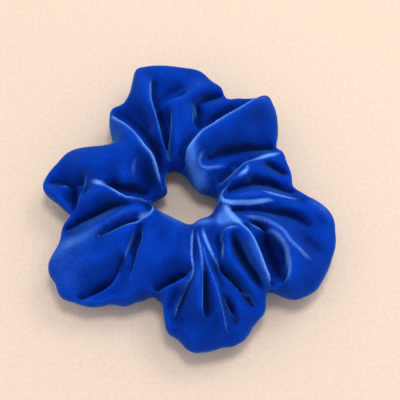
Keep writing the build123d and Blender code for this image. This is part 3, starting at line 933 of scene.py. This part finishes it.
def make_cover():
    """The velvet tube, gathered up: its face, its back and the seam allowance inside it."""
    skin = folded_tube()
    remesh(skin, VOXEL)
    places = coordinates(skin) / MM
    smooth(skin, SMOOTH_STEPS)
    points = coordinates(skin)
    points[:, 2] -= points[:, 2].min()
    set_coordinates(skin, points)
    normals, quads = vertex_normals(skin), quad_array(skin)
    allowance = seam_allowance()
    around, along = allowance.shape[:2]
    count = len(points)
    cover = new_mesh(
        "velvet_cover",
        np.vstack([points, cloth_back(points, normals, quads), allowance.reshape(-1, 3)]),
        np.vstack([quads, quads[:, ::-1] + count, tube_faces(around, along)[:, ::-1] + 2 * count]),
    )
    shade_smooth(cover)
    hidden = np.zeros(len(cover.data.vertices) - count)
    # The attributes below drive the velvet's painted light and shade: the broad relief its painted shade in
    # the hollows and highlights on the crests, the second its painted light and shade along the folds, the
    # third its painted highlights on fold edges, kept to faces turned up.
    store(cover, "broad_relief", np.concatenate([relief(skin, BROAD_STEPS), hidden]))
    store(cover, "painted_light_shade", np.concatenate([painted_light_and_shade(places), hidden]))
    facing_up = np.clip((normals[:, 2] + 0.5) / 0.5, 0, 1)
    store(cover, "painted_highlight", np.concatenate([painted_highlights(places) * facing_up, hidden]))
    bpy.data.objects.remove(skin)
    return cover, BVHTree.FromPolygons(points.tolist(), quads.tolist())


# ---- elastic and threads -------------------------------------------------------------------------
def directions(points):
    """Unit directions along a line, and across it, the latter turning as little as they can."""
    along = np.gradient(points, axis=0)
    along /= np.linalg.norm(along, axis=1)[:, None]
    across = [np.cross(along[0], (0.0, 0.0, 1.0))]
    for direction in along:
        last = across[-1] - direction * (across[-1] @ direction)
        across.append(last / np.linalg.norm(last))
    return along, np.array(across[1:])


def swept(name, points, outline):
    """A solid with an outline, anticlockwise (mm outwards, mm up), carried along a line of points."""
    along, across = directions(points)
    up = np.cross(across, along)
    outline = np.asarray(outline)
    rows, count = len(points), len(outline)
    ring = points[:, None] + across[:, None] * outline[None, :, :1] + up[:, None] * outline[None, :, 1:]
    i, j = np.meshgrid(np.arange(rows - 1), np.arange(count), indexing="ij")
    a, b = i * count + j, i * count + (j + 1) % count
    quads = np.stack([a, a + count, b + count, b], axis=-1).reshape(-1, 4)
    caps = [list(range(count)), list(range((rows - 1) * count, rows * count))[::-1]]
    mesh = bpy.data.meshes.new(name)
    mesh.from_pydata((ring.reshape(-1, 3) * MM).tolist(), [], quads.tolist() + caps)
    obj = bpy.data.objects.new(name, mesh)
    bpy.context.scene.collection.objects.link(obj)
    run = np.concatenate([[0], np.cumsum(np.linalg.norm(np.diff(points, axis=0), axis=1))])
    store(obj, "along", np.repeat(run, count))
    store(obj, "around", np.tile(np.arange(count) / count, rows))
    store(obj, "height", np.tile(outline[:, 1], rows))
    return obj


def joined(name, parts):
    """One object from several."""
    bpy.ops.object.select_all(action="DESELECT")
    for part in parts:
        part.select_set(True)
    bpy.context.view_layer.objects.active = parts[0]
    if len(parts) > 1:
        bpy.ops.object.join()
    parts[0].name = name
    parts[0].data.name = name
    shade_smooth(parts[0])
    return parts[0]


def circle(diameter, steps=10, height=0.0):
    turn = 2 * np.pi * np.arange(steps) / steps
    return np.stack([diameter / 2 * np.cos(turn), height + diameter / 2 * np.sin(turn)], axis=-1)


def elastic_line():
    """Points along the middle of the elastic, from its outer end round the ring to its inner one."""
    end_radius = ELASTIC_RADIUS + LAP_RISE
    lap_radius = (ELASTIC_RADIUS**2 + end_radius**2) / (2 * ELASTIC_RADIUS)
    angles = np.arange(JOIN_ANGLE - LAP_ANGLE, 360 + JOIN_ANGLE + LAP_ANGLE + 0.5)
    radius = np.where(angles < 360, lap_radius, ELASTIC_RADIUS)
    turn = np.radians(angles)
    x = radius * np.cos(turn) + ELASTIC_RADIUS - radius
    return np.stack([x, radius * np.sin(turn), np.full(len(turn), ELASTIC_HEIGHT)], axis=-1)


def core_heights():
    """Heights of the rubber cores from the middle of the band."""
    return CORE_PITCH * (np.arange(CORE_COUNT) - (CORE_COUNT - 1) / 2)


def band_outline():
    """The band's cross-section: a groove between each two cores, and rounded edges."""
    z = ELASTIC_WIDTH / 2 * np.sin(np.linspace(-np.pi / 2, np.pi / 2, 61))
    half = ELASTIC_THICKNESS / 2 - RIB_DEPTH * (1 - np.abs(np.sin(np.pi * z / CORE_PITCH)))
    edge = np.clip((np.abs(z) - ELASTIC_WIDTH / 2 + 0.5) / 0.5, 0, 1)
    half = half * np.sqrt(1 - edge**2)
    outer = np.stack([half, z], axis=-1)
    inner = np.stack([-half, z], axis=-1)[::-1]
    return np.vstack([outer, inner[1:-1]])


def make_elastic():
    """The woven band, with a channel for each of its cores."""
    line = elastic_line()
    parts = [swept("band", line, band_outline())]
    for height in core_heights():
        channel = swept("channel", line, circle(CHANNEL_DIAMETER, 10, height))
        channel.data.flip_normals()
        parts.append(channel)
    return joined("elastic_band", parts)


def make_cores():
    line = elastic_line()[1:-1]
    return joined("rubber_cores", [swept("core", line, circle(CORE_DIAMETER, 10, z)) for z in core_heights()])


def stitched(name, holes, normals, depth):
    """A lockstitched seam through the needle holes: a thread on each face, meeting in every hole."""
    threads = []
    for side in (1, -1):
        path = [holes[0]]
        for start, end, normal in zip(holes, holes[1:], normals):
            lift = side * normal * (depth / 2 + THREAD_DIAMETER / 4)
            path += [start + 0.15 * (end - start) + lift, start + 0.5 * (end - start) + 1.15 * lift]
            path += [start + 0.85 * (end - start) + lift, end]
        threads.append(swept("thread", dense_line(path), circle(THREAD_DIAMETER, 8)))
    return joined(name, threads)


def spaced(line, step):
    """Points along a line, evenly spaced about a step apart, its two ends among them."""
    run = np.concatenate([[0], np.cumsum(np.linalg.norm(np.diff(line, axis=0), axis=1))])
    marks = np.linspace(0, run[-1], max(2, round(run[-1] / step)) + 1)
    return np.stack([np.interp(marks, run, line[:, axis]) for axis in range(3)], axis=-1)


def make_long_seam():
    """The seam that makes the strip a tube, inside it along the hole."""
    angles = np.arange(0, 360.5, 1.0)
    turn = np.radians(angles)
    radius = periodic(HOLE_EDGE, angles) + ALLOWANCE_START + SEAM_LINE
    line = np.stack([radius * np.cos(turn), radius * np.sin(turn), np.full(len(turn), ALLOWANCE_HEIGHT)], -1)
    holes = spaced(line, STITCH_LENGTH)
    return stitched("long_seam", holes, np.tile((0.0, 0.0, 1.0), (len(holes), 1)), 2 * CLOTH_THICKNESS)


def make_closing_seam(skin):
    """The seam that joins the tube's two ends, round the tube where they meet."""
    turn = np.radians(np.arange(0, 361, 2.0))
    middle = np.array([CLOSING_SEAM_X, CLOSING_SEAM_Y, GIRTH_HEIGHT])
    out = np.stack([np.zeros(len(turn)), np.cos(turn), np.sin(turn)], axis=-1)
    reach = []
    for direction in out:
        reach.append(skin.ray_cast(Vector(middle * MM), Vector(direction))[3] / MM)
    reach = np.array(reach)[:-1]
    reach = np.mean([np.roll(reach, shift) for shift in (-2, -1, 0, 1, 2)], axis=0)
    reach = np.append(reach, reach[0]) - CLOSING_SEAM_SINK * CLOTH_THICKNESS
    holes = spaced(middle + reach[:, None] * out, STITCH_LENGTH)
    normals = np.cross((1.0, 0.0, 0.0), directions(holes)[0])
    return stitched("closing_seam", holes, normals, CLOTH_THICKNESS - 0.1)


def make_zigzag():
    """The zigzag that holds the elastic's overlapped ends."""
    share = (np.arange(ZIGZAG_STITCHES + 1) - ZIGZAG_STITCHES / 2) / ZIGZAG_STITCHES
    turn = np.radians(JOIN_ANGLE + 1.6 * LAP_ANGLE * share)
    radius = ELASTIC_RADIUS + LAP_RISE / 2
    height = ELASTIC_HEIGHT + ZIGZAG_WIDTH / 2 * np.where(np.arange(len(turn)) % 2, 1, -1)
    holes = np.stack([radius * np.cos(turn), radius * np.sin(turn), height], axis=-1)
    normals = np.stack([np.cos(turn), np.sin(turn), np.zeros(len(turn))], axis=-1)
    return stitched("elastic_join", holes, normals, LAP_RISE + ELASTIC_THICKNESS)


# ---- materials -----------------------------------------------------------------------------------
class Shader:
    """A material with short ways to add nodes; a value is a socket, a number or a colour."""

    def __init__(self, name):
        self.material = bpy.data.materials.new(name)
        self.material.use_nodes = True
        self.nodes = self.material.node_tree.nodes
        self.inputs = self.nodes["Principled BSDF"].inputs

    def put(self, socket, value):
        if isinstance(value, bpy.types.NodeSocket):
            self.material.node_tree.links.new(value, socket)
        else:
            socket.default_value = value

    def math(self, operation, first, second=0.0):
        """A sum, difference, product or the like of two values."""
        node = self.nodes.new("ShaderNodeMath")
        node.operation = operation
        self.put(node.inputs[0], first)
        self.put(node.inputs[1], second)
        return node.outputs["Value"]

    def wave(self, source, pitch):
        """A sine wave of the source, one turn a pitch."""
        return self.math("SINE", self.math("MULTIPLY", source, 2 * math.pi / pitch))

    def ramp(self, source, low, high, smooth=True, lowest=0.0, highest=1.0):
        """The source between low and high, spread over lowest to highest."""
        node = self.nodes.new("ShaderNodeMapRange")
        if smooth:
            node.interpolation_type = "SMOOTHSTEP"
        values = (("From Min", low), ("From Max", high), ("To Min", lowest), ("To Max", highest))
        for name, value in values:
            node.inputs[name].default_value = value
        self.put(node.inputs["Value"], source)
        return node.outputs["Result"]

    def mix(self, share, below, above, blend="MIX"):
        """The colour between two others."""
        node = self.nodes.new("ShaderNodeMix")
        node.data_type = "RGBA"
        node.blend_type = blend
        self.put(node.inputs[0], share)
        self.put(node.inputs[6], below)
        self.put(node.inputs[7], above)
        return node.outputs[2]

    def attribute(self, name):
        node = self.nodes.new("ShaderNodeAttribute")
        node.attribute_name = name
        return node.outputs["Fac"]

    def place(self):
        return self.nodes.new("ShaderNodeTexCoord").outputs["Object"]

    def noise(self, place, scale, detail=2.0, even=False):
        """Soft noise from 0 to 1 over the given coordinates, or from -0.5 to 0.5 where even."""
        node = self.nodes.new("ShaderNodeTexNoise")
        node.inputs["Scale"].default_value = scale
        node.inputs["Detail"].default_value = detail
        self.put(node.inputs["Vector"], place)
        return self.math("SUBTRACT", node.outputs["Fac"], 0.5) if even else node.outputs["Fac"]

    def bump(self, height, strength, distance):
        node = self.nodes.new("ShaderNodeBump")
        node.inputs["Strength"].default_value = strength
        node.inputs["Distance"].default_value = distance
        self.put(node.inputs["Height"], height)
        self.put(self.inputs["Normal"], node.outputs["Normal"])


# Velvet colours: the first is painted shade for the hollows and creases, the second the cloth's own blue, the
# last three painted highlights for crests, lit faces and fold edges.
SHADE_BLUE = (0.0, 0.006, 0.075, 1)
ROYAL_BLUE = (0.0005, 0.043, 0.47, 1)
CREST_HIGHLIGHT_BLUE = (0.006, 0.095, 0.66, 1)
PAINTED_LIGHT_BLUE = (0.07, 0.24, 0.90, 1)
RIM_HIGHLIGHT_BLUE = (0.14, 0.38, 1.0, 1)
YARN_PITCH = 0.9          # mm along the braid
PLY_PITCH = 0.4           # mm along a thread
LINEN_PITCH = 0.0009      # m, between the floor's threads


def velvet_material():
    """Velvet blue over random mottle and grain, with painted shade in the folds, painted light and shade
    along them and painted highlights on their edges.
    """
    velvet = Shader("velvet")
    place = velvet.place()
    mottle = velvet.noise(place, 90.0, 4.0, even=True)
    speckle = velvet.noise(place, 2200.0, even=True)
    uneven = velvet.math("ADD", mottle, velvet.math("MULTIPLY", speckle, 0.8))
    # Painted shade in the hollows and painted highlights on the crests, from the broad relief.
    depth = velvet.math("ADD", velvet.attribute("broad_relief"), uneven)
    relief_shading = velvet.mix(velvet.ramp(depth, -1.2, 0.7), SHADE_BLUE, ROYAL_BLUE)
    relief_shading = velvet.mix(velvet.ramp(depth, 0.3, 2.4), relief_shading, CREST_HIGHLIGHT_BLUE)
    # Painted light where this is positive and painted shade where it is negative, mostly in the creases.
    painted_light_shade = velvet.math("ADD", velvet.attribute("painted_light_shade"), velvet.math("MULTIPLY", uneven, 0.35))
    lit_and_shaded = velvet.mix(velvet.ramp(painted_light_shade, 0.0, 1.0), relief_shading, PAINTED_LIGHT_BLUE)
    away = velvet.ramp(velvet.math("MULTIPLY", painted_light_shade, -1.0), 0.0, 0.9)
    lit_and_shaded = velvet.mix(away, lit_and_shaded, SHADE_BLUE)
    # Painted highlights along the fold edges.
    edge_grain = velvet.math("MULTIPLY", speckle, 0.25)
    edge = velvet.math("ADD", velvet.attribute("painted_highlight"), edge_grain)
    colour = velvet.mix(velvet.ramp(edge, 0.15, 1.0), lit_and_shaded, RIM_HIGHLIGHT_BLUE)
    grain = velvet.ramp(speckle, -0.25, 0.25, smooth=False, lowest=0.80, highest=1.20)
    velvet.put(velvet.inputs["Base Color"], velvet.mix(1.0, colour, grain, "MULTIPLY"))
    velvet.inputs["Roughness"].default_value = 0.9
    velvet.inputs["Specular IOR Level"].default_value = 0.05
    velvet.inputs["Sheen Weight"].default_value = 0.62
    velvet.inputs["Sheen Roughness"].default_value = 0.32
    velvet.inputs["Sheen Tint"].default_value = (0.10, 0.42, 1.0, 1)
    return velvet.material


def braid_material():
    """White polyester yarns that cross over the cores in a herringbone, with painted shade between the yarns.
    """
    braid = Shader("braid")
    along, height = braid.attribute("along"), braid.attribute("height")
    rising = braid.wave(braid.math("ADD", along, height), YARN_PITCH)
    falling = braid.wave(braid.math("SUBTRACT", along, height), YARN_PITCH)
    yarns = braid.math("MAXIMUM", rising, falling)
    # Painted shade: darker between the yarns.
    colour = braid.mix(braid.ramp(yarns, -0.4, 0.8), (0.62, 0.60, 0.56, 1), (0.86, 0.85, 0.82, 1))
    braid.put(braid.inputs["Base Color"], colour)
    braid.bump(yarns, 0.6, 0.0001)
    braid.inputs["Roughness"].default_value = 0.8
    return braid.material


def rubber_material():
    """Natural rubber, a little darker in patches."""
    rubber = Shader("rubber")
    patches = rubber.ramp(rubber.noise(rubber.place(), 400.0), 0.3, 0.7)
    colour = rubber.mix(patches, (0.66, 0.58, 0.44, 1), (0.78, 0.72, 0.60, 1))
    rubber.put(rubber.inputs["Base Color"], colour)
    rubber.inputs["Roughness"].default_value = 0.6
    return rubber.material


def thread_material(name, dark, light):
    """Spun thread: its plies wind round it, with painted shade between the plies."""
    thread = Shader(name)
    wound = thread.math("MULTIPLY", thread.attribute("around"), 0.8)
    plies = thread.wave(thread.math("ADD", thread.attribute("along"), wound), PLY_PITCH)
    # Painted shade: darker between the plies.
    thread.put(thread.inputs["Base Color"], thread.mix(thread.ramp(plies, -0.8, 0.6), dark, light))
    thread.bump(plies, 0.4, 0.00005)
    thread.inputs["Roughness"].default_value = 0.7
    return thread.material


def floor_material():
    """Plain linen: a fine weave with faint painted shade between its threads, and random slubs."""
    linen = Shader("floor")
    place = linen.place()
    split = linen.nodes.new("ShaderNodeSeparateXYZ")
    linen.put(split.inputs["Vector"], place)
    weft, warp = (linen.wave(split.outputs[axis], LINEN_PITCH) for axis in ("X", "Y"))
    # Painted shade: a little darker between the threads.
    threads = linen.math("MULTIPLY", linen.math("ADD", weft, warp), 0.12)
    slubs = linen.noise(place, 700.0, 3.0, even=True)
    weave = linen.ramp(linen.math("ADD", threads, slubs), -0.5, 0.5)
    linen.put(
        linen.inputs["Base Color"],
        linen.mix(weave, (0.78, 0.630, 0.510, 1), (0.89, 0.735, 0.605, 1)),
    )
    linen.inputs["Roughness"].default_value = 0.9
    linen.inputs["Specular IOR Level"].default_value = 0.1
    return linen.material


# ---- scene ---------------------------------------------------------------------------------------
CAMERA_ELEVATION = 68.0   # degrees
CAMERA_DISTANCE = 0.42    # m
CAMERA_TARGET = Vector((0.00445, 0.0008, 0.012))
CAMERA_LENS = 100.0
FLOOR_HALF = 1.5          # m


def add_camera():
    data = bpy.data.cameras.new("camera")
    data.lens = CAMERA_LENS
    data.sensor_width = 36.0
    camera = bpy.data.objects.new("camera", data)
    bpy.context.scene.collection.objects.link(camera)
    tilt = math.radians(CAMERA_ELEVATION)
    back = Vector((0, -math.cos(tilt), math.sin(tilt)))
    camera.location = CAMERA_TARGET + back * CAMERA_DISTANCE
    camera.rotation_euler = (CAMERA_TARGET - camera.location).to_track_quat("-Z", "Y").to_euler()
    bpy.context.scene.camera = camera


def add_area_light(name, place, target, size, power, colour=(1, 1, 1)):
    data = bpy.data.lights.new(name, "AREA")
    data.shape = "DISK"
    data.size = size
    data.energy = power
    data.color = colour
    light = bpy.data.objects.new(name, data)
    bpy.context.scene.collection.objects.link(light)
    light.location = Vector(place)
    light.rotation_euler = (Vector(target) - Vector(place)).to_track_quat("-Z", "Y").to_euler()


def add_stage():
    """The floor, the world's light and two lamps."""
    size = FLOOR_HALF
    corners = [(-size, -size, 0), (size, -size, 0), (size, size, 0), (-size, size, 0)]
    floor = new_mesh("floor", corners, [(0, 1, 2, 3)])
    floor.data.materials.append(floor_material())
    world = bpy.data.worlds.new("world")
    bpy.context.scene.world = world
    world.use_nodes = True
    nodes, links = world.node_tree.nodes, world.node_tree.links
    background = nodes["Background"]
    background.inputs["Color"].default_value = (1.0, 0.985, 0.97, 1)
    seen = nodes.new("ShaderNodeLightPath").outputs["Is Camera Ray"]
    strength = nodes.new("ShaderNodeMapRange")
    strength.inputs["To Min"].default_value = 0.70
    strength.inputs["To Max"].default_value = 0.85
    links.new(seen, strength.inputs["Value"])
    links.new(strength.outputs["Result"], background.inputs["Strength"])
    add_area_light("overhead", (0.06, 0.08, 0.85), (0, 0, 0), 0.20, 2.5, (1.0, 0.98, 0.95))
    add_area_light("key", (0.36, 0.32, 0.70), (0, 0, 0.01), 0.35, 1.3, (1.0, 0.97, 0.94))
    bpy.context.scene.view_settings.view_transform = "Standard"


def dress(obj, material):
    obj.data.materials.clear()
    obj.data.materials.append(material)


add_camera()
add_stage()

cover, skin = make_cover()
elastic = make_elastic()
cores = make_cores()
long_seam = make_long_seam()
closing_seam = make_closing_seam(skin)
elastic_join = make_zigzag()

blue_thread = thread_material("blue_thread", (0.0, 0.02, 0.22, 1), (0.0, 0.05, 0.45, 1))
white_thread = thread_material("white_thread", (0.55, 0.55, 0.53, 1), (0.90, 0.90, 0.88, 1))
dress(cover, velvet_material())
dress(elastic, braid_material())
dress(cores, rubber_material())
dress(long_seam, blue_thread)
dress(closing_seam, blue_thread)
dress(elastic_join, white_thread)

for piece in (cover, elastic, cores, long_seam, closing_seam, elastic_join):
    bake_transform(piece)
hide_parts("cover_near_half", "cover_far_half")
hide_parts("elastic_near", "elastic_far")
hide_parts("rubber_cores_near", "rubber_cores_far")
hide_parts("long_seam_thread_near", "long_seam_thread_far")
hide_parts("closing_seam_thread")
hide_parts("elastic_join_thread")
